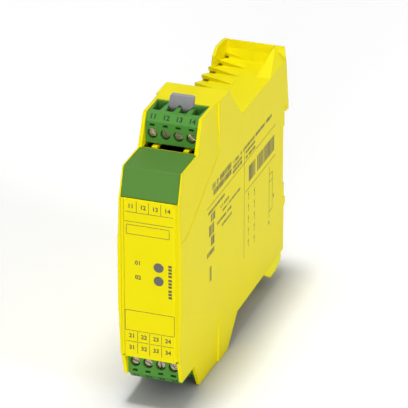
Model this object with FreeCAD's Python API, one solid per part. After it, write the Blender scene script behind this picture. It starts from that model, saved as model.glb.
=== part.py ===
"""Pluggable safety relay for a 35 mm rail: narrow housing, three terminal plugs, two relays inside.

Frame: X across the device, Y from the front panel to the rail, Z up. The origin is the middle of
the rail: on the plane the rail's flanges rest on, half way up the rail, half way across the device.
All sizes are millimetres.
"""

import FreeCAD, Part
import math
import os

from FreeCAD import Vector

# ---------------------------------------------------------------- driving dimensions
WIDTH = 22.5                 # across the rail, one module
FRONT = -110.0               # front face
LIP_BACK = 4.5               # back of the fixed rail hook: 114.5 deep in all
TOP = 49.5                   # upper shoulder
BOTTOM = -49.5               # lower shoulder: 99 high in all
WALL = 1.2                   # side walls
SKIN = 1.6                   # top, bottom and rear walls
GAP = 0.1                    # sliding clearance

RAIL_HALF = 17.5             # half of the 35 mm rail
FLANGE_SLOT = 1.3            # slot for the 1 mm rail flange
HOOK_END = 14.9              # lower end of the fixed hook
SEAT_RELIEF = 1.25           # depth of the relief between the two seat pads

STEP_TOP = 38.4              # ledge level of the upper corner
STEP_BOTTOM = -39.4          # ledge level of the lower corner
DECK = 35.2                  # top of the rear body
BASE = -39.6                 # underside of the rear body
SOCKET_BACK = -75.6          # where the shoulders close behind the plugs

POLES = 4                    # terminals in one plug
PITCH = 4.6
PLUG_HALF = 9.2              # half width of a plug
PLUG_HIGH = 10.4
PLUG_DEEP = 12.0             # clamping part, up to the housing's shoulder
BLOCK_DEEP = 13.4            # its lower part, which reaches under the shoulder
NOSE_DEEP = 20.0             # clamping part and nose together
SCREW_H = 3.4                # screw axis above the plug's inner face
SCREW_R = 1.25
HEAD_R = 1.6
HEAD_FRONT = 0.9             # recess of the screw head
HEAD_BACK = 2.9
CAGE_FRONT = 4.3
CAGE_BACK = 10.1
CAGE_STROKE = 2.0            # travel of the clamp, opened by four turns of the screw

VENT_PITCH = 7.25
VENT_COUNT = 5
VENT_FIRST = -32.9           # front lip of the first louvre
VENT_HIGH = 37.4             # lip of a louvre at the left wall, fading out at the middle
CREST = 41.2                 # top of the rear wall

LATCH_HALF = 5.5             # half width of the foot latch's plate
PIN = 0.45                   # half of a header pin
BOARD_X = -9.6               # outer face of the circuit board
BOARD_THICK = 1.6

HALF = WIDTH / 2
INNER = HALF - WALL
BOARD_FACE = BOARD_X + BOARD_THICK
POLE_X = [(i - (POLES - 1) / 2) * PITCH for i in range(POLES)]

# name, front face, level of the plug's inner face, direction outwards
PLUGS = [
    ("top", -87.7, 38.9, 1),
    ("bottom_front", -106.0, -31.5, -1),
    ("bottom_rear", -87.7, -39.0, -1),
]


# ---------------------------------------------------------------- helpers
def slab(x0, x1, y0, y1, z0, z1):
    """Box between two corners, given in any order."""
    low = Vector(min(x0, x1), min(y0, y1), min(z0, z1))
    return Part.makeBox(abs(x1 - x0), abs(y1 - y0), abs(z1 - z0), low)


def prism(points, x0, x1):
    """Side profile of (y, z) points, run from x0 to x1."""
    wire = Part.makePolygon([Vector(x0, y, z) for y, z in points + points[:1]])
    return Part.Face(wire).extrude(Vector(x1 - x0, 0, 0))


def plan(points, y0, y1):
    """Front profile of (x, z) points, run from y0 to y1."""
    wire = Part.makePolygon([Vector(x, y0, z) for x, z in points + points[:1]])
    return Part.Face(wire).extrude(Vector(0, y1 - y0, 0))


def rod(radius, x, z, y0, y1):
    """Round bar along Y."""
    return Part.makeCylinder(radius, y1 - y0, Vector(x, y0, z), Vector(0, 1, 0))


def inset(points, distance):
    """The outline moved inwards by distance; points run anticlockwise seen from +X."""
    count = len(points)
    moved = []
    for i in range(count):
        (ay, az), (by, bz), (cy, cz) = points[i - 1], points[i], points[(i + 1) % count]
        first, second = math.hypot(by - ay, bz - az), math.hypot(cy - by, cz - bz)
        uy, uz = (by - ay) / first, (bz - az) / first
        vy, vz = (cy - by) / second, (cz - bz) / second
        reach = distance / (1 + uy * vy + uz * vz)
        moved.append((by - (uz + vz) * reach, bz + (uy + vy) * reach))
    return moved


def mirrored(shape, normal):
    return shape.mirror(Vector(0, 0, 0), normal)


def joined(shapes):
    whole = shapes[0].fuse(shapes[1:]) if len(shapes) > 1 else shapes[0]
    return whole.removeSplitter()


def save(name, shape):
    """Writes one node; loose pieces that share it stay separate solids."""
    if not shape.isValid():
        raise ValueError(name + " isn't valid")
    solids = shape.Solids
    whole = solids[0] if len(solids) == 1 else Part.makeCompound(solids)
    whole.exportStep(os.path.join("parts", name + ".step"))
    print("%-26s %2d solid(s) %9.1f mm3" % (name, len(solids), sum(s.Volume for s in solids)))


# ---------------------------------------------------------------- housing
def housing_outline():
    """Side walls seen from the right: stepped corners, rail seat and hook."""
    front = [(FRONT, -28.6), (-107.0, STEP_BOTTOM), (-94.9, STEP_BOTTOM), (-89.4, BOTTOM)]
    base = [(-62.3, BOTTOM), (-51.6, BASE), (0.0, BASE)]
    nub = [(0.0, -22.4), (1.7, -21.2), (1.7, -18.8), (0.0, -18.1)]
    relief = [(0.0, -12.6), (-SEAT_RELIEF, -12.6), (-SEAT_RELIEF, 10.0), (0.0, 10.0)]
    slot_top = RAIL_HALF + 0.3
    hook = [
        (0.0, slot_top), (FLANGE_SLOT, slot_top), (FLANGE_SLOT, HOOK_END + 0.5),
        (FLANGE_SLOT + 0.5, HOOK_END), (LIP_BACK, HOOK_END), (LIP_BACK, 17.0), (1.4, DECK),
    ]
    top = [(-48.0, DECK), (-61.5, TOP), (-86.8, TOP), (-91.5, STEP_TOP), (-106.6, STEP_TOP)]
    return front + base + nub + relief + hook + top + [(FRONT, 28.2)]


def cavity_outline():
    """Outside of the closed rear body; its skin is inset from this."""
    back = -SEAT_RELIEF
    shoulder = SOCKET_BACK - SKIN
    return [
        (shoulder, BOTTOM), (-62.3, BOTTOM), (-51.6, BASE), (back, BASE),
        (back, DECK), (-48.0, DECK), (-61.5, TOP), (shoulder, TOP),
    ]


def corner_lean():
    """Shallow wedge that thins the right wall towards the upper terminals."""
    start, end = Vector(HALF, -104.0, 14.2), Vector(HALF, -71.5, 31.0)
    sheet = slab(HALF, HALF + 6, -160, -20, -60, 120)
    sheet.rotate(start, end - start, -1.7)
    sheet.translate(Vector(-0.12, 0, 0))
    field = [(start.y, start.z), (end.y, end.z), (end.y, 60.0), (-120.0, 60.0), (-120.0, start.z)]
    return prism(field, INNER, HALF + 1).common(sheet)


def louvres():
    """Left half of the deck: each louvre has a lip to the front and sinks to the rear and the middle."""
    blades = []
    for i in range(VENT_COUNT):
        lip = VENT_FIRST + i * VENT_PITCH
        rear = min(lip + VENT_PITCH - 0.4, -1.2)
        rings = []
        for x, crest in ((-HALF, VENT_HIGH), (0, DECK + 0.02)):
            ring = [Vector(x, lip, DECK - 0.5), Vector(x, lip, crest),
                    Vector(x, rear, DECK + 0.01), Vector(x, rear, DECK - 0.5)]
            rings.append(Part.makePolygon(ring + ring[:1]))
        blades.append(Part.makeLoft(rings, True, True))
    return blades


def vent_slots(side):
    """Mouths under the louvre lips at the left wall, and a row of slots in the underside."""
    cuts = []
    for i in range(VENT_COUNT):
        lip = VENT_FIRST + i * VENT_PITCH
        if side < 0:
            outer = -HALF - 0.1 if lip < -16 else -INNER
            cuts.append(slab(outer, -8.6, lip - 0.6, lip + 1.2, DECK - 0.4, DECK + 0.7))
            cuts.append(slab(-INNER, -8.6, lip - 0.2, lip + 1.2, DECK - SKIN - 0.1, DECK))
        cuts.append(slab(side * 2.0, side * 8.5, lip - 3.0, lip - 1.4, BASE - 1, BASE + SKIN + 0.1))
    return cuts


def rear_wall(side):
    """Sloping wall across the rear of the deck, between the two cheeks."""
    profile = [(1.4, DECK - 0.4), (-0.9, CREST), (-1.5, CREST), (-2.2, 38.4), (-4.3, DECK),
               (-4.3, DECK - 0.4)]
    return prism(profile, 0, side * (INNER + 0.2))


def left_cheek():
    """Thin upright ear of the left wall beside the rear of the deck."""
    profile = [(1.4, DECK), (-1.0, CREST + 0.1), (-4.5, 42.0), (-11.2, 42.0), (-14.6, 39.8), (-15.8, DECK)]
    return prism(profile, -HALF, -INNER)


def right_cheek():
    """Ramp beside the rear of the deck, its outer edge hollowed to a point on the crest."""
    side_view = [(1.4, DECK - 0.1), (-0.9, CREST), (-5.0, CREST), (-17.0, DECK - 0.1)]
    front_view = [(HALF, DECK - 0.1), (HALF, CREST), (8.0, CREST), (6.0, DECK - 0.1)]
    ramp = prism(side_view, 5, HALF).common(plan(front_view, -18, 2))
    base = [Vector(HALF + 0.01, y, z) for y, z in
            ((-17.0, DECK + 0.1), (1.4, DECK + 0.1), (-0.9, CREST + 0.01), (-5.0, CREST + 0.01))]
    tip = Vector(9.0, -5.0, CREST + 0.01)
    faces = [Part.Face(Part.makePolygon(base + base[:1]))]
    for i in range(4):
        faces.append(Part.Face(Part.makePolygon([base[i], base[(i + 1) % 4], tip, base[i]])))
    return ramp.cut(Part.Solid(Part.Shell(faces)))


def socket_parts(side):
    """Cheeks, floors and brows of the plug sockets, the strip behind the cover and its two tabs."""
    edge, cheek = side * (INNER + 0.2), side * (PLUG_HALF + GAP)
    back = SOCKET_BACK + 0.5
    upper = [(-91.5, STEP_TOP), (-90.9, 38.0), (-86.6, 38.0), (-86.6, 38.7), (back, 38.7), (back, TOP),
             (-86.8, TOP)]
    lower = [(-109.2, -31.2), (-107.0, STEP_BOTTOM), (-94.9, STEP_BOTTOM), (-89.4, BOTTOM), (back, BOTTOM),
             (back, -38.9), (-84.6, -38.9), (-84.6, -31.2)]
    strip_front, strip_back = -90.3, -89.3
    return [
        prism(upper, cheek, edge),
        prism(lower, cheek, edge),
        slab(0, edge, strip_front, strip_back, 34.6, 37.7),
        slab(0, edge, -83.5, -74.3, 37.0, 38.7),
        slab(side * 4.7, side * 6.5, strip_back - 0.1, -83.4, 37.0, 38.2),
        slab(0, edge, SOCKET_BACK, SOCKET_BACK + 1.3, 46.4, 48.3),
        slab(0, edge, SOCKET_BACK, SOCKET_BACK + 1.3, -48.3, -46.5),
        slab(0, edge, -83.2, -74.3, -38.8, -37.7),
        slab(0, edge, -107.6, -84.5, -31.2, -30.0),
    ]


def tongue(grow):
    """Inner half of the skin, which laps across the seam to the right shell."""
    ring = prism(inset(cavity_outline(), SKIN / 2 - grow), -0.5, 1.0 + grow)
    ring = ring.cut(prism(inset(cavity_outline(), SKIN), -1, 2))
    return ring.common(slab(-1, 2, SOCKET_BACK + 0.5, 0, BOTTOM, TOP))


def latch_way(side):
    """Channel of the foot latch through the underside and the rear wall, and the way out of its hook."""
    reach = side * (LATCH_HALF + 0.2)
    return [
        slab(0, reach, -4.3, 2.5, -26.5, -14.0),
        slab(0, reach, -4.3, -1.5, BASE - 1, -14.0),
    ]


def housing_shell(side):
    """One half of the housing: side wall, half of the skin, half of the rear wall."""
    shell = prism(housing_outline(), 0, side * HALF)
    shell = shell.cut(prism(inset(cavity_outline(), SKIN), 0, side * INNER))
    shell = shell.cut(slab(0, side * INNER, FRONT - 2, SOCKET_BACK, BOTTOM - 1, TOP + 6))
    land = slab(0, side * 6.0, -SEAT_RELIEF - 0.1, 0, -11.5, 9.0)
    extras = louvres() + [left_cheek()] if side < 0 else [right_cheek()]
    shell = joined([shell, rear_wall(side), land] + extras + socket_parts(side))
    lean = corner_lean()
    leans = [lean, mirrored(lean, Vector(0, 0, 1))]
    if side < 0:
        leans = [mirrored(cut, Vector(1, 0, 0)) for cut in leans]
    return shell.cut(leans + latch_way(side) + vent_slots(side))


def housing():
    """Both shells, which meet at the middle: the left one's tongue laps into the right one."""
    lap = tongue(0).cut(latch_way(-1) + latch_way(1) + vent_slots(-1) + vent_slots(1))
    spring_seat = Part.makeCylinder(1.2, 2.4, Vector(0, -7.0, BASE + SKIN - 0.2), Vector(0, 0, 1))
    seat_hole = Part.makeCylinder(1.3, 2.7, Vector(0, -7.0, BASE + SKIN - 0.3), Vector(0, 0, 1))
    save("housing_left_shell", joined([housing_shell(-1), lap, spring_seat]))
    save("housing_right_shell", housing_shell(1).cut([tongue(0.05), seat_hole]))


# ---------------------------------------------------------------- front pieces
def front_panel():
    """Front panel with a rebated edge, lens holes, side skirts and snap hooks."""
    low, high, face, flange = -31.0, 28.4, 9.0, INNER - GAP
    panel = slab(-face, face, FRONT, FRONT + 1.6, low, high)
    back = slab(-flange, flange, FRONT + 0.35, FRONT + 2.1, low + 0.6, high - 0.8)
    skirts = [slab(s * (flange - 1.0), s * flange, FRONT + 2.0, FRONT + 7.0, -26, 24) for s in (-1, 1)]
    hooks = []
    for z in (-18, 0, 18):
        for s in (-1, 1):
            hooks.append(slab(s * (flange - 1.9), s * (flange - 0.9), FRONT + 5.6, FRONT + 7.0,
                              z - 2, z + 2))
    body = joined([panel, back] + skirts + hooks)
    edges = [e for e in body.Edges if all(abs(v.Y - FRONT) < 1e-6 for v in e.Vertexes)]
    body = body.makeFillet(0.25, edges)
    holes = [rod(LENS_R, LENS_X, z, FRONT - 1, FRONT + 3) for z in LENS_Z]
    save("front_panel", body.cut(holes))


LENS_X = 3.3
LENS_Z = (4.3, -0.7)
LENS_R = 1.75
LENS_PROUD = 0.15


def status_lights():
    """Tinted lens pressed into the panel, and the light behind it on its two long leads."""
    for number, z in enumerate(LENS_Z, start=1):
        lens = rod(LENS_R, LENS_X, z, FRONT - LENS_PROUD, FRONT + 2.1)
        lens = joined([lens, rod(LENS_R + 0.45, LENS_X, z, FRONT + 2.1, FRONT + 2.8)])
        rim = [e for e in lens.Edges if abs(e.BoundBox.YMax - (FRONT - LENS_PROUD)) < 1e-6]
        save("status_lens_%d" % number, lens.makeFillet(0.14, rim))
        back = FRONT + 8.0
        bulb = joined([rod(1.5, LENS_X, z, FRONT + 3.6, back - 1.0), rod(1.9, LENS_X, z, back - 1.0, back)])
        parts = [bulb]
        for lead, offset in enumerate((-0.9, 0.9)):
            depth = back + 1.5 + 2.5 * lead
            parts.append(slab(LENS_X - 0.25, LENS_X + 0.25, back - 0.1, depth, z + offset - 0.25,
                              z + offset + 0.25))
            parts.append(slab(BOARD_X - 0.3, LENS_X + 0.25, depth - 0.5, depth, z + offset - 0.25,
                              z + offset + 0.25))
        save("status_light_%d" % number, joined(parts))


def blank_cover():
    """Green cover of the unused terminal corner: leaning front, flat top, hooks and stiffening ribs."""
    skin = 1.4
    outside = [(FRONT + 0.2, 28.7), (FRONT + 1.8, 28.7), (FRONT + 1.8, 30.0),
               (-105.4, STEP_TOP - 0.2 - skin),
               (-92.2, STEP_TOP - 0.2 - skin), (-92.2, 33.2), (-90.5, 33.2), (-90.5, STEP_TOP - 0.2),
               (-106.3, STEP_TOP - 0.2)]
    half = INNER - GAP
    cover = prism(outside, -half, half)
    bend = [e for e in cover.Edges if e.Length > 2 * half - 0.1
            and abs(e.Vertexes[0].Y + 106.3) < 1e-3 and abs(e.Vertexes[0].Z - STEP_TOP + 0.2) < 1e-3]
    cover = cover.makeFillet(0.8, bend)
    ribs = []
    for x in (-half, -half / 3, half / 3 - 1.0, half - 1.0):
        web = [(-107.5, 30.2), (-105.3, STEP_TOP - 1.5), (-92.3, STEP_TOP - 1.5), (-92.3, 34.0),
               (-99.0, 32.0)]
        ribs.append(prism(web, x, x + 1.0))
    save("blank_cover", joined([cover] + ribs))


# ---------------------------------------------------------------- rail foot
def foot_latch():
    """Sprung foot: hook behind the lower rail flange, guide plate, spring shoulder and pull tail."""
    hook = [(-4.1, -25.5), (-1.7, -25.5), (-1.7, -22.8), (3.8, -20.6), (3.8, -17.2), (1.9, -HOOK_END),
            (1.15, -HOOK_END), (1.15, -RAIL_HALF - 0.5), (-0.3, -RAIL_HALF - 0.7), (-0.3, -19.6),
            (-4.1, -19.6)]
    plate = slab(-LATCH_HALF, LATCH_HALF, -4.1, -1.7, -42.0, -22.0)
    nose = prism(hook, -LATCH_HALF, LATCH_HALF)
    shoulder = slab(-2.6, 2.6, -9.6, -4.0, -25.5, -23.9)
    tail_side = [(-21.0, -39.9), (-13.6, -44.8), (-7.4, -44.8), (-1.8, -43.7), (0.4, -42.3), (0.4, -39.9)]
    tail = prism(tail_side, -10.9, 10.9)
    drafts = []
    for s in (-1, 1):
        drafts.append(plan([(s * 9.8, -39.9), (s * 10.9, -44.8), (s * 12, -44.8), (s * 12, -39.8)], -22, 2))
    tail = tail.cut(drafts + [slab(-2.2, 2.2, -6.4, -5.0, -45, -41.8)])
    save("rail_foot_latch", joined([plate, nose, shoulder, tail]))


def latch_spring():
    """Compression spring between the housing floor and the latch's shoulder."""
    wire, mean = 0.3, 1.75
    low, high = BASE + SKIN + wire, -25.5 - wire
    helix = Part.makeHelix((high - low) / 6.0, high - low, mean)
    ring = Part.Wire(Part.makeCircle(wire, Vector(mean, 0, 0), Vector(0, 1, 0)))
    coil = Part.Wire(helix.Edges).makePipeShell([ring], True, True)
    coil.translate(Vector(0, -7.0, low))
    save("latch_spring", coil)


# ---------------------------------------------------------------- circuit board and what it carries
def board_outline():
    """Circuit board: full inside the body, narrow behind the front panel."""
    return [
        (-103.0, -28.0), (-83.3, -28.0), (-83.3, -37.4), (-64.9, -37.4), (-64.9, -46.6), (-63.4, -46.6),
        (-52.6, -37.2), (-11.0, -37.2), (-11.0, 32.8), (-49.2, 32.8), (-62.6, 47.0), (-64.9, 47.0),
        (-64.9, 35.8), (-88.0, 35.8), (-88.0, 26.0), (-103.0, 26.0),
    ]


def header_frame(front, level, out):
    """Maps a plug's own depth and height to Y and Z."""
    return (lambda depth: front + depth), (lambda height: level + out * height)


def pin_tail(pole):
    """Depth at which a pole's pin turns towards the board."""
    return 23.4 + 1.4 * pole


def circuit_board():
    board = prism(board_outline(), BOARD_X, BOARD_FACE)
    holes = []
    for _, front, level, out in PLUGS:
        at_y, at_z = header_frame(front, level, out)
        for pole in range(POLES):
            y, z = at_y(pin_tail(pole)) + PIN, at_z(SCREW_H)
            holes.append(Part.makeCylinder(0.68, 4, Vector(BOARD_X - 1, y, z), Vector(1, 0, 0)))
    for z in LENS_Z:
        for lead, offset in enumerate((-0.9, 0.9)):
            y = FRONT + 9.5 + 2.5 * lead - 0.25
            holes.append(Part.makeCylinder(0.5, 4, Vector(BOARD_X - 1, y, z + offset), Vector(1, 0, 0)))
    save("circuit_board", board.cut(holes))


def pin_header(name, front, level, out):
    """Shrouded base strip and its four angled pins."""
    at_y, at_z = header_frame(front, level, out)
    face, back = BLOCK_DEEP + 0.2, NOSE_DEEP + 2.6
    shroud = slab(-PLUG_HALF, PLUG_HALF, at_y(face), at_y(back), at_z(-0.1), at_z(7.3))
    pocket = slab(-8.5, 8.5, at_y(PLUG_DEEP), at_y(NOSE_DEEP + 0.2), at_z(0.7), at_z(6.5))
    keys = [slab(x - 0.6, x + 0.6, at_y(PLUG_DEEP), at_y(NOSE_DEEP), at_z(6.4), at_z(8))
            for x in (-PITCH, 0, PITCH)]
    axis = at_z(SCREW_H)
    pins, holes = [], []
    for pole, x in enumerate(POLE_X):
        bend = at_y(pin_tail(pole))
        straight = slab(x - PIN, x + PIN, at_y(BLOCK_DEEP + 0.6), bend + 2 * PIN, axis - PIN, axis + PIN)
        across = slab(BOARD_X - 0.35, x + PIN, bend, bend + 2 * PIN, axis - PIN, axis + PIN)
        pins.append(straight.fuse(across).removeSplitter())
        holes.append(slab(x - PIN, x + PIN, at_y(NOSE_DEEP), at_y(back + 1), axis - PIN, axis + PIN))
    save("pin_header_" + name, shroud.cut([pocket] + keys + holes))
    save("header_pins_" + name, Part.makeCompound(pins))


def relay(name, z_low, z_high):
    """Force-guided relay: sealed case with a drafted lid, base step and two rows of solder pins."""
    y0, y1, top = -62.0, -13.0, 8.4
    case = slab(BOARD_FACE + 1.4, top, y0, y1, z_low, z_high)
    upright = [e for e in case.Edges if abs(e.Vertexes[0].X - e.Vertexes[1].X) > 5]
    case = case.makeFillet(0.8, upright)
    rim = [e for e in case.Edges if abs(e.BoundBox.XMin - top) < 1e-6]
    case = case.makeChamfer(0.5, rim)
    base = slab(BOARD_FACE + 0.2, BOARD_FACE + 1.4, y0 + 0.5, y1 - 0.5, z_low + 0.5, z_high - 0.5)
    feet = []
    for i in range(6):
        for z in (z_low + 2.2, z_high - 2.2):
            y = y0 + 4 + i * (y1 - y0 - 8) / 5
            feet.append(slab(BOARD_FACE, BOARD_FACE + 0.3, y - 0.5, y + 0.5, z - 0.3, z + 0.3))
    save(name, joined([case, base] + feet))


def board_components():
    relay("relay_k1", 2.6, 18.6)
    relay("relay_k2", -18.2, -2.2)
    can = Part.makeCylinder(4.0, 11.5, Vector(BOARD_FACE, -73.0, 24.0), Vector(1, 0, 0))
    groove = Part.makeTorus(4.15, 0.35, Vector(BOARD_FACE + 2.0, -73.0, 24.0), Vector(1, 0, 0))
    save("smoothing_capacitor", can.cut(groove))
    disc = Part.makeCylinder(4.5, 3.6, Vector(1.2, -86.0, 18.0), Vector(0, 1, 0))
    disc = disc.makeFillet(0.9, [disc.Edges[0]])
    legs = [slab(BOARD_FACE, 0.0, -84.6, -83.9, z - 0.35, z + 0.35) for z in (15.8, 20.2)]
    save("surge_varistor", joined([disc] + legs))
    film = slab(BOARD_FACE, BOARD_FACE + 9.5, -100.0, -87.5, -21.0, -15.5)
    film = film.makeFillet(0.5, [e for e in film.Edges if abs(e.Vertexes[0].X - e.Vertexes[1].X) > 5])
    save("film_capacitor", film)
    chips = [slab(BOARD_FACE, BOARD_FACE + 1.7, y, y + 9.8, z, z + 3.9)
             for y, z in ((-98.0, 12.0), (-98.0, -8.0), (-80.0, -26.0))]
    save("driver_chips", Part.makeCompound(chips))
    small = [slab(BOARD_FACE, BOARD_FACE + 0.7, y, y + 3.1, z, z + 1.6)
             for y in (-82.0, -76.0, -70.0) for z in (-10.0, -4.0, 2.0, 8.0)]
    save("chip_resistors", Part.makeCompound(small))


# ---------------------------------------------------------------- terminal plugs
def plug_profile(at_y, at_z):
    """Side of a plug: flat screw face, sloping label strip, flat top, lower block and nose behind."""
    corners = [(0, 0), (0, 7.8), (2.4, PLUG_HIGH), (PLUG_DEEP, PLUG_HIGH), (PLUG_DEEP, 7.0),
               (BLOCK_DEEP, 7.0), (BLOCK_DEEP, 6.4), (NOSE_DEEP, 6.4), (NOSE_DEEP, 0.8),
               (BLOCK_DEEP, 0.8), (BLOCK_DEEP, 0)]
    return [(at_y(depth), at_z(height)) for depth, height in corners]


def funnel(x, at_y, at_z):
    """Wire entry: a mouth that widens away from the label, narrowing down to the clamp."""
    rings = []
    for slim, wide, near, far, height in ((1.35, 2.0, 4.0, 11.3, PLUG_HIGH + 0.01),
                                          (1.4, 1.4, 8.3, 10.6, 6.3)):
        ring = [Vector(x - slim, at_y(near), at_z(height)), Vector(x + slim, at_y(near), at_z(height)),
                Vector(x + wide, at_y(far), at_z(height)), Vector(x - wide, at_y(far), at_z(height))]
        rings.append(Part.makePolygon(ring + ring[:1]))
    return Part.makeLoft(rings, True, True)


def plug_body(name, front, level, out):
    """Insulating body with four screw wells, test slots, clamp chambers, contact ways and funnels."""
    at_y, at_z = header_frame(front, level, out)
    body = prism(plug_profile(at_y, at_z), -PLUG_HALF, PLUG_HALF)
    sides = [slab(s * 8.4, s * 11, at_y(BLOCK_DEEP), at_y(21), at_z(-1), at_z(11)) for s in (-1, 1)]
    keys = [slab(x - 0.5, x + 0.5, at_y(BLOCK_DEEP - 0.1), at_y(NOSE_DEEP - 0.5), at_z(6.3), at_z(7.0))
            for x in (-PITCH, 0, PITCH)]
    body = joined([body.cut(sides)] + keys)
    axis = at_z(SCREW_H)
    cuts = []
    for x in POLE_X:
        cuts.append(rod(HEAD_R + 0.2, x, axis, at_y(-0.1), at_y(HEAD_BACK)))
        cuts.append(rod(SCREW_R + 0.1, x, axis, at_y(HEAD_BACK - 0.1), at_y(CAGE_FRONT)))
        cuts.append(slab(x - 2.0, x + 2.0, at_y(CAGE_FRONT - 0.2), at_y(CAGE_BACK + CAGE_STROKE + 0.1),
                         at_z(0.5), at_z(6.5)))
        cuts.append(slab(x - 0.9, x + 0.9, at_y(-0.1), at_y(1.6), at_z(6.2), at_z(7.0)))
        cuts.append(slab(x - 1.1, x + 1.1, at_y(12), at_y(13.1), at_z(0.5), at_z(4.8)))
        cuts.append(slab(x - 1.1, x + 1.1, at_y(12), at_y(19.4), at_z(2.0), at_z(4.8)))
        cuts.append(slab(x - 0.6, x + 0.6, at_y(19), at_y(NOSE_DEEP + 0.1), axis - 0.6, axis + 0.6))
        cuts.append(funnel(x, at_y, at_z))
    save("plug_body_" + name, body.cut(cuts))


def plug_contacts(name, front, level, out):
    """Current bars: clamp plate, strip under the cage and socket for the header's pin."""
    at_y, at_z = header_frame(front, level, out)
    axis = at_z(SCREW_H)
    pieces = []
    for x in POLE_X:
        plate = slab(x - 1.35, x + 1.35, at_y(7.6), at_y(8.3), at_z(0.6), at_z(6.2))
        strip = slab(x - 1.0, x + 1.0, at_y(7.6), at_y(12.9), at_z(0.6), at_z(1.25))
        riser = slab(x - 1.0, x + 1.0, at_y(12.3), at_y(12.9), at_z(0.6), at_z(4.7))
        sleeve = slab(x - 1.0, x + 1.0, at_y(12.3), at_y(19.2), at_z(2.1), at_z(4.7))
        bore = slab(x - 0.55, x + 0.55, at_y(13), at_y(20), axis - 0.55, axis + 0.55)
        pieces.append(joined([plate, strip, riser, sleeve]).cut(bore))
    save("plug_contacts_" + name, Part.makeCompound(pieces))


def clamp_screw(x, at_y, at_z, turn):
    """Slotted screw: rounded head, driver slot at the angle it was left at, plain shank for the thread."""
    axis = at_z(SCREW_H)
    head = rod(HEAD_R, x, axis, at_y(HEAD_FRONT), at_y(HEAD_BACK - 0.05))
    rim = [e for e in head.Edges if abs(e.BoundBox.YMax - at_y(HEAD_FRONT)) < 1e-6]
    head = head.makeFillet(0.35, rim)
    shank = rod(SCREW_R, x, axis, at_y(HEAD_BACK - 0.1), at_y(7.55))
    slot = slab(x - 3, x + 3, at_y(HEAD_FRONT - 0.5), at_y(HEAD_FRONT + 0.8), axis - 0.35, axis + 0.35)
    slot.rotate(Vector(x, 0, axis), Vector(0, 1, 0), turn)
    return joined([head, shank]).cut(slot)


def clamp_cage(x, at_y, at_z):
    """Rising cage, open above and below: threaded wall round the screw, far wall that grips the wire."""
    cage = slab(x - 1.9, x + 1.9, at_y(CAGE_FRONT), at_y(CAGE_BACK), at_z(1.4), at_z(6.4))
    window = slab(x - 1.5, x + 1.5, at_y(CAGE_FRONT + 1.1), at_y(CAGE_BACK - 0.5), at_z(1), at_z(7))
    thread = rod(SCREW_R + 0.05, x, at_z(SCREW_H), at_y(CAGE_FRONT - 1), at_y(CAGE_FRONT + 2))
    return cage.cut([window, thread])


SLOT_TURNS = {"top": (50, 75, 20, 40), "bottom_front": (15, 25, 82, 35), "bottom_rear": (5, 60, 30, 80)}


def plugs():
    for name, front, level, out in PLUGS:
        at_y, at_z = header_frame(front, level, out)
        plug_body(name, front, level, out)
        plug_contacts(name, front, level, out)
        pin_header(name, front, level, out)
        for pole, x in enumerate(POLE_X, start=1):
            turn = SLOT_TURNS[name][pole - 1]
            save("clamp_screw_%s_%d" % (name, pole), clamp_screw(x, at_y, at_z, turn))
            save("clamp_cage_%s_%d" % (name, pole), clamp_cage(x, at_y, at_z))


# ---------------------------------------------------------------- plug-in jumper
def jumper():
    """Insulated bridge in the two middle wire entries of the upper plug."""
    name, front, level, out = PLUGS[0]
    at_y, at_z = header_frame(front, level, out)
    middle, top, shoulder, low = at_y(8.95), 53.5, 47.6, 45.6
    mouth = at_z(PLUG_HIGH)
    leg = (POLE_X[2] - 0.85, POLE_X[2] + 0.85)
    notch = [(0, mouth + 0.9), (0.75, mouth + 0.1), (0.95, shoulder), (leg[0], shoulder), (leg[0], low),
             (leg[1], low), (leg[1], shoulder), (3.6, shoulder), (3.8, mouth + 0.1)]
    left = [(-x, z) for x, z in reversed(notch[1:])]
    outside = [(4.5, mouth + 0.4), (4.8, top), (-3.4, top), (-4.1, mouth + 0.4)]
    handle = plan(notch + outside + left, middle - 0.7, middle + 1.3)
    corners = [e for e in handle.Edges if abs(e.BoundBox.ZMin - top) < 1e-6 and e.BoundBox.YLength > 1]
    handle = handle.makeFillet(0.6, corners)
    wire, bridge_z = 0.45, mouth + 1.9
    legs = (POLE_X[1], POLE_X[2])
    bridge = [slab(x - wire, x + wire, middle - wire, middle + wire, at_z(2.3), bridge_z) for x in legs]
    bridge.append(slab(legs[0] - wire, legs[1] + wire, middle - wire, middle + wire,
                       bridge_z - 0.9, bridge_z))
    pins = joined(bridge)
    save("jumper_handle", handle.cut(pins))
    save("jumper_bridge", pins)


def main():
    os.makedirs("parts", exist_ok=True)
    housing()
    front_panel()
    status_lights()
    blank_cover()
    foot_latch()
    latch_spring()
    circuit_board()
    board_components()
    plugs()
    jumper()


main()
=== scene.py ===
"""Finishes of a pluggable safety relay: grained yellow shells with their print, green plugs and cover,
steel clamp screws, tinted indicator windows, a grey jumper and everything inside, on a white floor
with a painted shadow near the relay."""

import math
import random

import bmesh
import bpy
from bpy.props import FloatProperty, FloatVectorProperty, PointerProperty
from mathutils import Matrix, Vector


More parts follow.
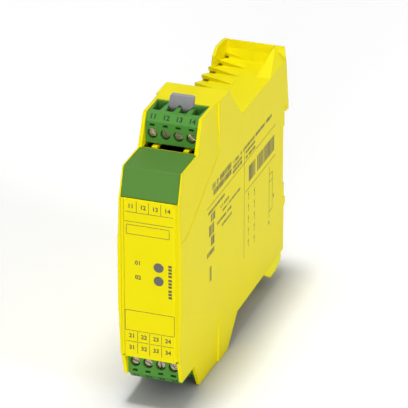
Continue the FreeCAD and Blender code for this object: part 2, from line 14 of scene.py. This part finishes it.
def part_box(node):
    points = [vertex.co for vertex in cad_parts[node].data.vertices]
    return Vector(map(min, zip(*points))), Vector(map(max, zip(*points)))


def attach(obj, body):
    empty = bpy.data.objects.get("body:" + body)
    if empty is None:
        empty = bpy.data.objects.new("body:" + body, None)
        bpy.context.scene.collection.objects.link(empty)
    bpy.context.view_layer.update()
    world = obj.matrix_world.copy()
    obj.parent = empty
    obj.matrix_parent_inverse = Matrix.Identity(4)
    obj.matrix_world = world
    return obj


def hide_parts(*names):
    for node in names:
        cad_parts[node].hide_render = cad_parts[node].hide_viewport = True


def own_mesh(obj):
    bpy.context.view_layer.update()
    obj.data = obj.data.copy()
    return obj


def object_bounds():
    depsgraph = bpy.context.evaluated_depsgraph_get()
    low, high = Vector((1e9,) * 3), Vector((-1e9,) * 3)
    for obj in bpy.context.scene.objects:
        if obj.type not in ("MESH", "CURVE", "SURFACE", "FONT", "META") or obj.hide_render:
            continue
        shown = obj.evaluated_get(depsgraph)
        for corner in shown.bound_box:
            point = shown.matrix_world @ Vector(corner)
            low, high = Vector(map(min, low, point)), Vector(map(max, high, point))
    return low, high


bl_info = {
    "name": "Safety relay finishes",
    "version": (1, 0, 0),
    "blender": (4, 5, 0),
    "location": "View3D > Sidebar > Relay",
    "description": "Dresses a rail-mounted safety relay and lights it on a white floor",
    "category": "Object",
}

MM = 0.001

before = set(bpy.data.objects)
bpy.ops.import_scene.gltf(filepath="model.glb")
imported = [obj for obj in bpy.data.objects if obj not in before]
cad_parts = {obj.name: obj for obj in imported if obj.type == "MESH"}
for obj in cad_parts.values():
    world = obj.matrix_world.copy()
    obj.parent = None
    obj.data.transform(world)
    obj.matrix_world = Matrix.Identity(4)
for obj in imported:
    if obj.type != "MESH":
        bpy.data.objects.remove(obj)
cad_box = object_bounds()

# Places are in millimetres. FRONT is the panel's face and HALF the right wall's, both from the frame.
FRONT = round(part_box("front_panel")[0][1] / MM, 3)
HALF = round(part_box("housing_right_shell")[1][0] / MM, 3)
PITCH = 4.6
POLES = tuple(round((pole - 1.5) * PITCH, 3) for pole in range(4))

# Face, parting level and outward direction along Z of each plug, and the size of its sloped corner.
PLUGS = {"top": (-87.7, 38.9, 1), "bottom_front": (-106.0, -31.5, -1), "bottom_rear": (-87.7, -39.0, -1)}
PLUG_BODIES = {"top": "upper_plug", "bottom_front": "lower_front_plug", "bottom_rear": "housing"}
SLOPE_RUN = 2.4
SLOPE_RISE = 2.6
SLOPE_MIDDLE = 9.1

# Place, width and power setting of each lamp, in metres.
LAMPS = {
    "overhead": ((-0.2, -0.12, 3.0), 0.6, "key"),
    "front": ((0.5, -2.7, 0.4), 0.8, "front"),
    "side": ((2.85, -0.9, 1.0), 0.8, "fill"),
}
FLOOR_REACH = 6.0


def linear(red, green, blue):
    """Screen colour from 0 to 255, as the scene-linear colour the shader takes."""
    shares = (red / 255, green / 255, blue / 255)
    return tuple(((c + 0.055) / 1.055) ** 2.4 if c > 0.04 else c / 12.92 for c in shares)


def colour(label, shade, note):
    return FloatVectorProperty(name=label, description=note, subtype="COLOR", size=3, min=0, max=1,
                               default=shade)


# ---------------------------------------------------------------- settings
class RelayColours(bpy.types.PropertyGroup):
    housing: colour("Housing", linear(243, 229, 8), "Yellow of the two shells and the front panel")
    # The foot is the housing's yellow plastic; its paler yellow is a painted highlight standing in for the
    # light on its lit facet.
    latch: colour("Latch", linear(255, 246, 6), "Yellow of the rail foot")
    cover: colour("Cover", linear(88, 134, 58), "Green of the blank corner cover")
    plug: colour("Plugs", linear(84, 146, 62), "Green of the three terminal plugs")
    jumper: colour("Jumper", linear(160, 157, 164), "Grey of the jumper's handle")
    lens: colour("Indicator windows", linear(84, 82, 76), "Tint of the two unlit indicator windows")
    ink: colour("Ink", linear(96, 91, 42), "Print on the front panel")
    wall_ink: colour("Wall ink", linear(112, 104, 52), "Thinner print on the right wall")
    steel: colour("Steel", linear(178, 168, 148), "Zinc plate of the clamp screws")


class RelaySizes(bpy.types.PropertyGroup):
    grain: FloatProperty(name="Grain", description="Pitch of the moulded grain", default=0.32 * MM,
                         unit="LENGTH", precision=5)
    grain_depth: FloatProperty(name="Grain depth", description="Depth of the moulded grain",
                               default=0.012 * MM, unit="LENGTH", precision=6)
    rounding: FloatProperty(name="Edge rounding", description="Radius that softens the moulded edges",
                            default=0.22 * MM, unit="LENGTH", precision=5)
    ink_height: FloatProperty(name="Ink height", description="How far printed lines stand on the panel",
                              default=0.03 * MM, unit="LENGTH", precision=6)
    line_width: FloatProperty(name="Line width", description="Width of the printed lines",
                              default=0.17 * MM, unit="LENGTH", precision=5)


class RelayStage(bpy.types.PropertyGroup):
    floor: FloatProperty(name="Floor level", description="Height of the floor, just under the relay",
                         default=round(cad_box[0][2] - 0.1 * MM, 4), unit="LENGTH", precision=4)
    distance: FloatProperty(name="Camera distance", description="From the camera to the point it looks at",
                            default=1.090, unit="LENGTH")
    target: FloatVectorProperty(name="Target", description="Point that the camera looks at",
                                default=(0.0191, -0.1095, 0.0303), unit="LENGTH", precision=4)
    azimuth: FloatProperty(name="Azimuth", description="Direction of view round the relay",
                           default=math.radians(19.35), subtype="ANGLE")
    elevation: FloatProperty(name="Elevation", description="Height of view above the floor",
                             default=math.radians(26.0), subtype="ANGLE")
    lens: FloatProperty(name="Focal length", description="Focal length of the camera", default=293.8,
                        subtype="DISTANCE_CAMERA")
    key: FloatProperty(name="Overhead light", description="Power of the lamp overhead", default=65.4,
                       unit="POWER")
    front: FloatProperty(name="Front light", description="Power of the low lamp in front", default=29.9,
                         unit="POWER")
    fill: FloatProperty(name="Fill light", description="Power of the low lamp at the right", default=29.5,
                        unit="POWER")
    lift: FloatProperty(name="Floor lift", description="What the floor adds to its own white",
                        default=0.13)
    # Contact reach sets how far the painted shadow on the floor spreads from the relay.
    contact: FloatProperty(name="Contact reach", description="How near the relay the floor darkens",
                           default=0.03, unit="LENGTH", precision=3)
    sky: FloatProperty(name="Sky", description="Light that the white surroundings give", default=0.1)


# ---------------------------------------------------------------- shader expressions
class Wire:
    """A shader socket that can be used in arithmetic."""

    def __init__(self, paint, socket):
        self.paint = paint
        self.socket = socket

    def math(self, operation, first, second=0.0, clamp=False):
        settings = {"operation": operation, "use_clamp": clamp}
        return self.paint.node("ShaderNodeMath", settings, {0: first, 1: second})

    def __add__(self, other):
        return self.math("ADD", self, other)

    def __radd__(self, other):
        return self.math("ADD", other, self)

    def __sub__(self, other):
        return self.math("SUBTRACT", self, other)

    def __rsub__(self, other):
        return self.math("SUBTRACT", other, self)

    def __mul__(self, other):
        return self.math("MULTIPLY", self, other)

    def __rmul__(self, other):
        return self.math("MULTIPLY", other, self)

    def __truediv__(self, other):
        return self.math("DIVIDE", self, other)

    def __gt__(self, other):
        return self.math("GREATER_THAN", self, other)

    def __or__(self, other):
        return self.math("MAXIMUM", self, other)

    def clamped(self):
        return self.math("ADD", self, 0.0, clamp=True)

    def fraction(self):
        return self.math("FRACT", self)

    def size(self):
        return self.math("ABSOLUTE", self)

    def between(self, low, high, soft=0.06):
        """1 inside the limits, fading to 0 over soft millimetres."""
        rising = ((self - low) * (1 / soft) + 0.5).clamped()
        falling = ((high - self) * (1 / soft) + 0.5).clamped()
        return rising * falling


class Paint:
    """A material with one Principled shader; sockets that vary are linked, the rest are set on it."""

    def __init__(self, name, **fixed):
        self.material = bpy.data.materials.new(name)
        self.material.use_nodes = True
        self.tree = self.material.node_tree
        self.shader = self.tree.nodes["Principled BSDF"]
        for label, value in fixed.items():
            self.shader.inputs[label.replace("_", " ")].default_value = value

    def node(self, kind, settings=None, sockets=None, output=0):
        made = self.tree.nodes.new(kind)
        for name, value in (settings or {}).items():
            setattr(made, name, value)
        for name, value in (sockets or {}).items():
            if isinstance(value, Wire):
                self.tree.links.new(value.socket, made.inputs[name])
            else:
                made.inputs[name].default_value = value
        return Wire(self, made.outputs[output])

    def feed(self, label, wire):
        self.tree.links.new(wire.socket, self.shader.inputs[label])

    def place(self):
        """Position on the piece, which rides with it."""
        return self.node("ShaderNodeTexCoord", output=3)

    def axes(self):
        """The same position as three numbers in millimetres."""
        split = self.node("ShaderNodeSeparateXYZ", None, {0: self.place()})
        outputs = split.socket.node.outputs
        return [Wire(self, outputs[i]) * 1000.0 for i in range(3)]

    def noise(self, pitch, detail=2.0, roughness=0.5, stretch=(1, 1, 1)):
        """Noise from 0 to 1 whose lumps are about pitch metres across."""
        place = self.node("ShaderNodeVectorMath", {"operation": "MULTIPLY"}, {0: self.place(), 1: stretch})
        values = {"Vector": place, "Scale": 1 / pitch, "Detail": detail, "Roughness": roughness}
        return self.node("ShaderNodeTexNoise", None, values)

    def mix(self, amount, first, second):
        settings = {"data_type": "RGBA", "clamp_factor": True}
        return self.node("ShaderNodeMix", settings, {0: amount, 6: first, 7: second}, output=2)

    def bump(self, height, depth, soften=None):
        """Normal of a height from 0 to 1 that is depth metres deep, over edges rounded by soften metres."""
        sockets = {"Height": height, "Distance": depth, "Strength": 1.0}
        if soften:
            sockets["Normal"] = self.node("ShaderNodeBevel", {"samples": 4}, {"Radius": soften})
        self.feed("Normal", self.node("ShaderNodeBump", None, sockets))


def rgba(shade, factor=1.0):
    return (*[min(1.0, c * factor) for c in shade[:3]], 1.0)


def moulded(name, shade, sizes, roughness=0.42, grain=1.0):
    """Grained thermoplastic: fine spark-eroded texture, slow tone drift, edges softened by a rounded
    normal.
    """
    paint = Paint(name, IOR=1.46, Specular_IOR_Level=0.08)
    fine = paint.noise(sizes.grain * grain, 3.0, 0.6)
    drift = paint.noise(0.018, 2.0, 0.5)
    tone = paint.mix(drift, rgba(shade, 0.965), rgba(shade, 1.03))
    tone = paint.mix((fine - 0.5).size() * 0.25, tone, rgba(shade, 0.82))
    paint.feed("Base Color", tone)
    paint.feed("Roughness", roughness - 0.05 + fine * 0.1 + (drift - 0.5) * 0.08)
    paint.bump(fine, sizes.grain_depth, sizes.rounding)
    return paint.material


def metal(name, shade, roughness=0.3, pitch=0.0004, depth=0.000004, stretch=(1, 1, 1)):
    """Plated metal: fine tool marks along one direction, dull and bright patches."""
    paint = Paint(name, Metallic=1.0)
    marks = paint.noise(pitch, 3.0, 0.6, stretch)
    patches = paint.noise(0.0022, 2.0, 0.5)
    paint.feed("Base Color", paint.mix(patches, rgba(shade, 0.86), rgba(shade, 1.05)))
    paint.feed("Roughness", roughness - 0.08 + patches * 0.16)
    paint.bump(marks, depth, 0.0001)
    return paint.material


def resin(name, shade, roughness=0.3, pitch=0.0006, fleck=0.8):
    """Potting, lacquer or moulded epoxy with faint flecks."""
    paint = Paint(name, IOR=1.5)
    flecks = paint.noise(pitch, 4.0, 0.65)
    paint.feed("Base Color", paint.mix(flecks, rgba(shade, fleck), rgba(shade, 1.15)))
    paint.feed("Roughness", roughness + flecks * 0.12)
    paint.bump(flecks, 0.00001, 0.00015)
    return paint.material


def board_finish():
    """Solder resist over copper runs, which show a little paler and stand a little proud."""
    paint = Paint("board laminate", IOR=1.5)
    y, z = paint.axes()[1:]
    across, along = z / 2.4, y / 3.1
    runs = across.fraction().between(0.35, 0.65, 0.08) | along.fraction().between(0.4, 0.62, 0.08)
    area = paint.noise(0.009, 0.0) > 0.48
    copper = runs * area
    paint.feed("Base Color", paint.mix(copper, rgba(linear(24, 88, 44)), rgba(linear(52, 128, 66))))
    paint.feed("Roughness", 0.3 + paint.noise(0.0007) * 0.15)
    paint.bump(copper, 0.00003, 0.0002)
    return paint.material


def window_finish(name, shade):
    """Tinted window over an unlit lamp: fine upright ridges under a polished face."""
    paint = Paint(name, IOR=1.55, Coat_Weight=0.6, Coat_Roughness=0.06)
    ridges = ((paint.axes()[0] - 3.3).size() * 3.0).fraction()
    speckle = paint.noise(0.0003, 2.0)
    paint.feed("Base Color", paint.mix(speckle, rgba(shade, 0.8), rgba(shade, 1.2)))
    paint.feed("Roughness", 0.22 + speckle * 0.1 + ridges * 0.05)
    paint.bump(ridges, 0.00001, 0.0002)
    return paint.material


# ---------------------------------------------------------------- meshes
def wear(material, *nodes):
    """Gives CAD nodes a finish through their material slots."""
    for name in nodes:
        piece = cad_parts[name]
        if not piece.material_slots:
            piece.data.materials.append(material)
        for slot in piece.material_slots:
            slot.material = material


def piece_from(name, mesh, material, body):
    """A new piece that rides on a body and takes its finish from a material slot."""
    made = bpy.data.objects.new(name, mesh)
    bpy.context.scene.collection.objects.link(made)
    mesh.materials.clear()
    mesh.materials.append(material)
    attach(made, body)
    return made


def printed_bars(name, bars, height, wall="front"):
    """Closed thin slabs of ink, from (start, end, low, high) in millimetres: the first two run along X
    on the front panel and along Y on the right wall, the others along Z."""
    mesh = bmesh.new()
    for start, end, low, high in bars:
        middle, length = (start + end) / 2 * MM, (end - start) * MM
        if wall == "front":
            place, size = (middle, FRONT * MM - height / 2), (length, height)
        else:
            place, size = (HALF * MM + height / 2, middle), (height, length)
        centre = Vector((*place, (low + high) / 2 * MM))
        matrix = Matrix.Translation(centre) @ Matrix.Diagonal((*size, (high - low) * MM, 1))
        bmesh.ops.create_cube(mesh, size=1, matrix=matrix)
    data = bpy.data.meshes.new(name)
    mesh.to_mesh(data)
    mesh.free()
    return data


def block_row(chance, start, end, low, high, pitch):
    """Upright blocks of uneven width between two heights, with a gap left here and there."""
    bars = []
    for i in range(int((end - start) / pitch)):
        left = start + i * pitch
        if chance.random() > 0.1:
            bars.append((left, left + pitch * chance.uniform(0.5, 0.86), low, high))
    return bars


def wall_marks():
    """Print on the right wall, kept plain: rows of blocks, rules and a contact diagram in outline.
    A row holds its start, end, low and high, and the pitch of its blocks."""
    rows = [
        (-78.4, -58.6, 19.9, 22.0, 1.1), (-78.4, -58.6, 17.3, 19.4, 1.1),
        (-57.2, -47.2, 18.0, 19.2, 0.9), (-57.2, -47.2, 16.3, 17.5, 0.9), (-56.6, -14.5, 19.9, 21.1, 0.95),
        (-43.4, -32.7, 17.9, 18.9, 0.8), (-43.4, -32.7, 15.9, 16.9, 0.8), (-39.9, -11.4, 5.6, 11.6, 1.5),
        (-82.6, -65.5, 12.1, 13.2, 1.0), (-70.0, -60.4, 9.2, 10.2, 0.9), (-68.0, -47.8, 7.0, 7.9, 0.9),
        (-73.8, -57.8, 4.4, 5.4, 0.9), (-68.7, -57.9, 1.7, 2.7, 0.9), (-81.4, -75.4, 8.4, 11.4, 1.5),
        (-81.8, -76.6, 3.6, 7.6, 1.3), (-81.8, -74.2, -0.6, 2.8, 1.9), (-84.0, -74.6, -3.6, -1.8, 1.3),
        (-81.2, -79.2, -13.6, -8.0, 0.9),
    ]
    chance = random.Random(7)
    bars = [bar for row in rows for bar in block_row(chance, *row)]
    rule = 0.22
    bars += [(-84.0, -10.5, 14.9, 14.9 + rule), (-43.6, -10.5, 3.1, 3.1 + rule)]
    for y, low, high in ((-44.95, -22.0, 20.8), (-17.15, -19.0, 1.2), (-13.6, -16.6, -2.0)):
        bars += [(y, y + rule, low, high)]
    bars += [(-16.9, -13.6, z, z + rule) for z in (-2.2, -5.0, -16.7)]
    bars += [(-12.6, -11.9, -13.0, -11.4), (-17.4, -16.7, -21.6, -20.2)]
    for line, top in ((-40.1, 2.0), (-33.6, 0.6)):
        for i in range(5):
            level = top - i * 4.6
            bars += [(line, line + rule, level - 3.2, level)]
            bars += [(line - 0.5, line + rule, level - 1.2, level - 0.6)]
    return bars


def number_mesh(name, words, size, thickness):
    """One mesh of several printed numbers; words holds (text, matrix of its place)."""
    boldness = 0.028
    whole = bmesh.new()
    for text, place in words:
        curve = bpy.data.curves.new(name + text, "FONT")
        curve.body, curve.size, curve.extrude = text, size, thickness / 2
        curve.align_x, curve.align_y, curve.offset = "CENTER", "CENTER", size * boldness
        curve.resolution_u = 4
        carrier = bpy.data.objects.new(name + text, curve)
        letters = bpy.data.meshes.new_from_object(carrier)
        letters.transform(place)
        whole.from_mesh(letters)
        bpy.data.objects.remove(carrier)
        bpy.data.curves.remove(curve)
        bpy.data.meshes.remove(letters)
    data = bpy.data.meshes.new(name)
    whole.to_mesh(data)
    whole.free()
    return data


def facing(origin, right, up):
    """Matrix that lays flat lettering at origin, with its own right and up directions."""
    right, up = Vector(right).normalized(), Vector(up).normalized()
    out = right.cross(up)
    turn = Matrix((right, up, out)).transposed().to_4x4()
    return Matrix.Translation(Vector(origin) * MM) @ turn


def seam_mesh(name, strips):
    """Rounded bars, each given by its lowest and highest corner in millimetres."""
    rounding = 0.06 * MM
    form = bmesh.new()
    for low, high in strips:
        made = bmesh.ops.create_cube(form, size=1.0)["verts"]
        for point in made:
            place = [a + (b - a) * (at + 0.5) for a, b, at in zip(low, high, point.co)]
            point.co = Vector(place) * MM
        edges = list({edge for point in made for edge in point.link_edges})
        bmesh.ops.bevel(form, geom=edges, offset=rounding, segments=2, affect="EDGES")
    mesh = bpy.data.meshes.new(name)
    form.to_mesh(mesh)
    form.free()
    return mesh


# ---------------------------------------------------------------- operators
class RELAY_OT_housing(bpy.types.Operator):
    """Finish the two shells, the front panel with the seams beside it, and the rail foot"""

    bl_idname = "relay.housing"
    bl_label = "Housing"

    def execute(self, context):
        shades, sizes = context.scene.relay_colours, context.scene.relay_sizes
        plain = moulded("housing yellow", shades.housing, sizes)
        wear(plain, "housing_left_shell", "housing_right_shell", "front_panel")
        near, far, top = FRONT + 0.1, FRONT + 0.9, 28.4
        seams = [((-10.02, near, -30.4), (-9.03, far, top)), ((9.03, near, 27.5), (9.95, far, top))]
        piece_from("panel_seam", seam_mesh("panel_seam", seams), plain, "housing")
        # Painted highlight: the rail foot wears the paler latch yellow so that its facet shows lit.
        wear(moulded("foot yellow", shades.latch, sizes, 0.38, 0.8), "rail_foot_latch")
        return {"FINISHED"}


class RELAY_OT_cover(bpy.types.Operator):
    """Finish the blank corner cover"""

    bl_idname = "relay.cover"
    bl_label = "Blank cover"

    def execute(self, context):
        shades, sizes = context.scene.relay_colours, context.scene.relay_sizes
        wear(moulded("cover green", shades.cover, sizes, 0.5), "blank_cover")
        return {"FINISHED"}


class RELAY_OT_plugs(bpy.types.Operator):
    """Finish the terminal plugs and print a plain number beside each terminal"""

    bl_idname = "relay.plugs"
    bl_label = "Terminal plugs"

    def execute(self, context):
        shades, sizes = context.scene.relay_colours, context.scene.relay_sizes
        green = moulded("plug green", shades.plug, sizes, 0.36, 0.7)
        black = resin("plug ink", linear(14, 20, 16), 0.5)
        dark = moulded("header green", linear(46, 96, 44), sizes, 0.45)
        for row, (name, (front, level, out)) in enumerate(PLUGS.items(), start=1):
            wear(green, "plug_body_" + name)
            wear(dark, "pin_header_" + name)
            y, z = front + SLOPE_RUN / 2, level + out * SLOPE_MIDDLE
            proud = Vector((0, -SLOPE_RISE, out * SLOPE_RUN)).normalized() * 0.02
            up = Vector((0, out * SLOPE_RUN, SLOPE_RISE))
            words = []
            for pole, x in enumerate(POLES, start=1):
                origin = Vector((x, y, z)) + proud
                words.append(("%d%d" % (row, pole), facing(origin, (1, 0, 0), up)))
            mesh = number_mesh("numbers_" + name, words, 2.5 * MM, 0.06 * MM)
            piece_from("plug_numbers_" + name, mesh, black, PLUG_BODIES[name])
        return {"FINISHED"}


class RELAY_OT_hardware(bpy.types.Operator):
    """Finish the clamp screws, clamp cages, contacts, pins and the latch spring"""

    bl_idname = "relay.hardware"
    bl_label = "Screws and contacts"

    def execute(self, context):
        shades = context.scene.relay_colours
        plate = metal("screw zinc", shades.steel, 0.28, stretch=(1, 0.2, 1))
        cage = metal("cage zinc", linear(176, 172, 160), 0.36)
        copper = metal("tinned contact", linear(196, 188, 168), 0.3)
        wire = metal("spring wire", linear(150, 150, 152), 0.3, stretch=(1, 1, 0.1))
        for name in PLUGS:
            for pole in range(1, len(POLES) + 1):
                wear(plate, "clamp_screw_%s_%d" % (name, pole))
                wear(cage, "clamp_cage_%s_%d" % (name, pole))
            wear(copper, "plug_contacts_" + name, "header_pins_" + name)
        wear(copper, "jumper_bridge")
        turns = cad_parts["latch_spring"].data.copy()
        wear(wire, "latch_spring")
        coil = piece_from("return_coil", turns, wire, "housing")
        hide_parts("latch_spring")
        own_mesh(coil)
        return {"FINISHED"}


class RELAY_OT_indicators(bpy.types.Operator):
    """Finish the two indicator windows and the lamps behind them"""

    bl_idname = "relay.indicators"
    bl_label = "Indicators"

    def execute(self, context):
        tint = window_finish("indicator window", context.scene.relay_colours.lens)
        wear(tint, "status_lens_1", "status_lens_2")
        wear(resin("lamp resin", linear(176, 206, 170), 0.15), "status_light_1", "status_light_2")
        return {"FINISHED"}


class RELAY_OT_jumper(bpy.types.Operator):
    """Finish the jumper's handle"""

    bl_idname = "relay.jumper"
    bl_label = "Jumper"

    def execute(self, context):
        shades, sizes = context.scene.relay_colours, context.scene.relay_sizes
        wear(moulded("jumper grey", shades.jumper, sizes, 0.45, 0.6), "jumper_handle")
        return {"FINISHED"}


class RELAY_OT_inside(bpy.types.Operator):
    """Finish the circuit board and the parts on it"""

    bl_idname = "relay.inside"
    bl_label = "Inside"

    def execute(self, context):
        wear(board_finish(), "circuit_board")
        wear(resin("relay case", linear(40, 42, 46), 0.25), "relay_k1", "relay_k2")
        wear(resin("capacitor sleeve", linear(40, 52, 90), 0.3), "smoothing_capacitor")
        wear(resin("varistor coat", linear(38, 92, 160), 0.4), "surge_varistor")
        wear(resin("film capacitor case", linear(184, 176, 150), 0.4), "film_capacitor")
        wear(resin("chip epoxy", linear(28, 28, 30), 0.45), "driver_chips", "chip_resistors")
        return {"FINISHED"}


class RELAY_OT_panel_print(bpy.types.Operator):
    """Print the terminal tables, the marking fields and plain numbers on the front panel"""

    bl_idname = "relay.panel_print"
    bl_label = "Panel print"

    def execute(self, context):
        shades, sizes = context.scene.relay_colours, context.scene.relay_sizes
        ink = resin("panel ink", shades.ink, 0.5)
        half = sizes.line_width / MM / 2
        edge = 8.6
        dividers = (-4.4, -0.1, 4.2)
        columns = (-6.4, -2.1, 2.2, 6.5)

        def level(x0, x1, z):
            return (x0, x1, z - half, z + half)

        def upright(x, z0, z1):
            return (x - half, x + half, z0, z1)

        bars = [level(-edge, edge, z) for z in (23.5, 20.0, -25.0)]
        for low, high in ((23.7, 27.6), (-24.7, -21.2), (-29.4, -25.3)):
            bars += [upright(x, low, high) for x in dividers]
        for left, right, low, high in ((-8.0, 7.1, 15.4, 18.8), (-8.75, 8.75, -20.8, -13.2)):
            bars += [level(left, right, low), level(left, right, high)]
            bars += [upright(left, low, high), upright(right, low, high)]
        block_levels = (5.3, 4.1, 2.9, 1.7, 0.1, -1.1, -2.3, -3.9, -5.1, -6.3)
        bars += [(6.75, 7.95, z - 0.42, z + 0.42) for z in block_levels]
        mesh = printed_bars("panel_lines", bars, sizes.ink_height)
        piece_from("panel_lines", mesh, ink, "housing")
        labels = [("0%d" % lamp, -4.0, z) for lamp, z in ((1, 4.9), (2, -0.5))]
        for row, z in enumerate((25.6, -22.9, -27.3), start=1):
            labels += [("%d%d" % (row, pole), x, z) for pole, x in enumerate(columns, start=1)]
        words = [(text, facing((x, FRONT - 0.015, z), (1, 0, 0), (0, 0, 1))) for text, x, z in labels]
        mesh = number_mesh("panel_numbers", words, 2.15 * MM, sizes.ink_height)
        piece_from("panel_numbers", mesh, ink, "housing")
        return {"FINISHED"}


class RELAY_OT_wall_print(bpy.types.Operator):
    """Print the rows, rules and diagram on the right wall"""

    bl_idname = "relay.wall_print"
    bl_label = "Wall print"

    def execute(self, context):
        shades, sizes = context.scene.relay_colours, context.scene.relay_sizes
        mesh = printed_bars("wall_marks", wall_marks(), sizes.ink_height, "right")
        ink = resin("wall ink", shades.wall_ink, 0.55)
        piece_from("wall_marks", mesh, ink, "housing")
        return {"FINISHED"}


class RELAY_OT_stage(bpy.types.Operator):
    """Lay the white floor, hang the lamps and set the camera"""

    bl_idname = "relay.stage"
    bl_label = "Stage"

    def execute(self, context):
        scene, settings = context.scene, context.scene.relay_stage
        mesh = bpy.data.meshes.new("floor")
        signs = ((-1, -1), (1, -1), (1, 1), (-1, 1))
        corners = [(x * FLOOR_REACH, y * FLOOR_REACH, settings.floor) for x, y in signs]
        mesh.from_pydata(corners, [], [(0, 1, 2, 3)])
        floor = bpy.data.objects.new("floor", mesh)
        scene.collection.objects.link(floor)
        mesh.materials.append(self.paper(settings))
        self.surroundings(scene, settings)
        for name, (place, size, power) in LAMPS.items():
            self.lamp(scene, name, place, size, getattr(settings, power))
        self.camera(scene, settings)
        scene.view_settings.view_transform = "Standard"
        return {"FINISHED"}

    def paper(self, settings):
        """White paper with a painted shadow: its colour turns dark and its lift falls away where the relay
        closes it in, and it is lifted to plain white elsewhere.
        """
        paper = Paint("white floor", Roughness=0.9, Specular_IOR_Level=0.1, Emission_Strength=1.0)
        white = paper.mix(paper.noise(0.004), (0.93, 0.93, 0.93, 1), (0.95, 0.95, 0.95, 1))
        reach = {"Distance": settings.contact}
        clear_of_painted_shadow = paper.node("ShaderNodeAmbientOcclusion", {"samples": 12}, reach, output=1)
        # Painted shadow: the paper's colour goes to dark grey where the relay closes it in.
        paper.feed("Base Color", paper.mix(clear_of_painted_shadow, (0.1, 0.1, 0.12, 1), white))
        camera_ray = paper.node("ShaderNodeLightPath", output=0)
        glossy_ray = paper.node("ShaderNodeLightPath", output=3)
        # The lift is withheld in the same places, which deepens the painted shadow.
        amount = (camera_ray | glossy_ray) * clear_of_painted_shadow
        paper.feed("Emission Color", paper.mix(amount, (0, 0, 0, 1), rgba((settings.lift,) * 3)))
        return paper.material

    def surroundings(self, scene, settings):
        """A world that lights evenly and shows as plain white behind the relay."""
        world = bpy.data.worlds.new("white surroundings")
        scene.world = world
        world.use_nodes = True
        nodes, links = world.node_tree.nodes, world.node_tree.links
        light, path = nodes["Background"], nodes.new("ShaderNodeLightPath")
        seen = path.outputs["Is Camera Ray"]
        for other in ("Is Glossy Ray", "Is Transmission Ray"):
            either = nodes.new("ShaderNodeMath")
            either.operation = "MAXIMUM"
            links.new(seen, either.inputs[0])
            links.new(path.outputs[other], either.inputs[1])
            seen = either.outputs[0]
        strength = nodes.new("ShaderNodeMath")
        strength.operation = "MULTIPLY_ADD"
        links.new(seen, strength.inputs[0])
        strength.inputs[1].default_value = 1.0 - settings.sky
        strength.inputs[2].default_value = settings.sky
        light.inputs["Color"].default_value = (1, 1, 1, 1)
        links.new(strength.outputs[0], light.inputs["Strength"])

    def lamp(self, scene, name, place, size, power):
        data = bpy.data.lights.new(name, "AREA")
        data.shape, data.size, data.energy = "SQUARE", size, power
        lamp = bpy.data.objects.new(name, data)
        lamp.location = place
        middle = Vector((0, -0.055, 0))
        aim = Vector(place) - middle
        lamp.rotation_euler = aim.to_track_quat("Z", "Y").to_euler()
        scene.collection.objects.link(lamp)

    def camera(self, scene, settings):
        data = bpy.data.cameras.new("camera")
        data.lens, data.sensor_width = settings.lens, 36.0
        data.clip_start, data.clip_end = 0.01, 20
        camera = bpy.data.objects.new("camera", data)
        scene.collection.objects.link(camera)
        a, e = settings.azimuth, settings.elevation
        back = Vector((math.sin(a) * math.cos(e), -math.cos(a) * math.cos(e), math.sin(e)))
        camera.location = Vector(settings.target) + back * settings.distance
        camera.rotation_euler = back.to_track_quat("Z", "Y").to_euler()
        scene.camera = camera


class RELAY_PT_pieces(bpy.types.Panel):
    """Settings and steps of the relay's finish"""

    bl_label = "Safety relay"
    bl_space_type = "VIEW_3D"
    bl_region_type = "UI"
    bl_category = "Relay"

    def draw(self, context):
        for group in (context.scene.relay_colours, context.scene.relay_sizes, context.scene.relay_stage):
            box = self.layout.box()
            for name in group.bl_rna.properties.keys():
                if name not in ("rna_type", "name"):
                    box.prop(group, name)
        for step in STEPS:
            self.layout.operator(step.bl_idname)


STEPS = (
    RELAY_OT_housing, RELAY_OT_cover, RELAY_OT_plugs, RELAY_OT_hardware, RELAY_OT_indicators,
    RELAY_OT_jumper, RELAY_OT_inside, RELAY_OT_panel_print, RELAY_OT_wall_print, RELAY_OT_stage,
)
GROUPS = {"relay_colours": RelayColours, "relay_sizes": RelaySizes, "relay_stage": RelayStage}


def register():
    for kind in (*GROUPS.values(), *STEPS, RELAY_PT_pieces):
        bpy.utils.register_class(kind)
    for name, group in GROUPS.items():
        setattr(bpy.types.Scene, name, PointerProperty(type=group))


def unregister():
    for name in GROUPS:
        delattr(bpy.types.Scene, name)
    for kind in (RELAY_PT_pieces, *reversed(STEPS), *reversed(GROUPS.values())):
        bpy.utils.unregister_class(kind)


def main():
    register()
    bpy.ops.relay.housing()
    bpy.ops.relay.cover()
    bpy.ops.relay.plugs()
    bpy.ops.relay.hardware()
    bpy.ops.relay.indicators()
    bpy.ops.relay.jumper()
    bpy.ops.relay.inside()
    bpy.ops.relay.panel_print()
    bpy.ops.relay.wall_print()
    bpy.ops.relay.stage()


if __name__ == "__main__":
    main()
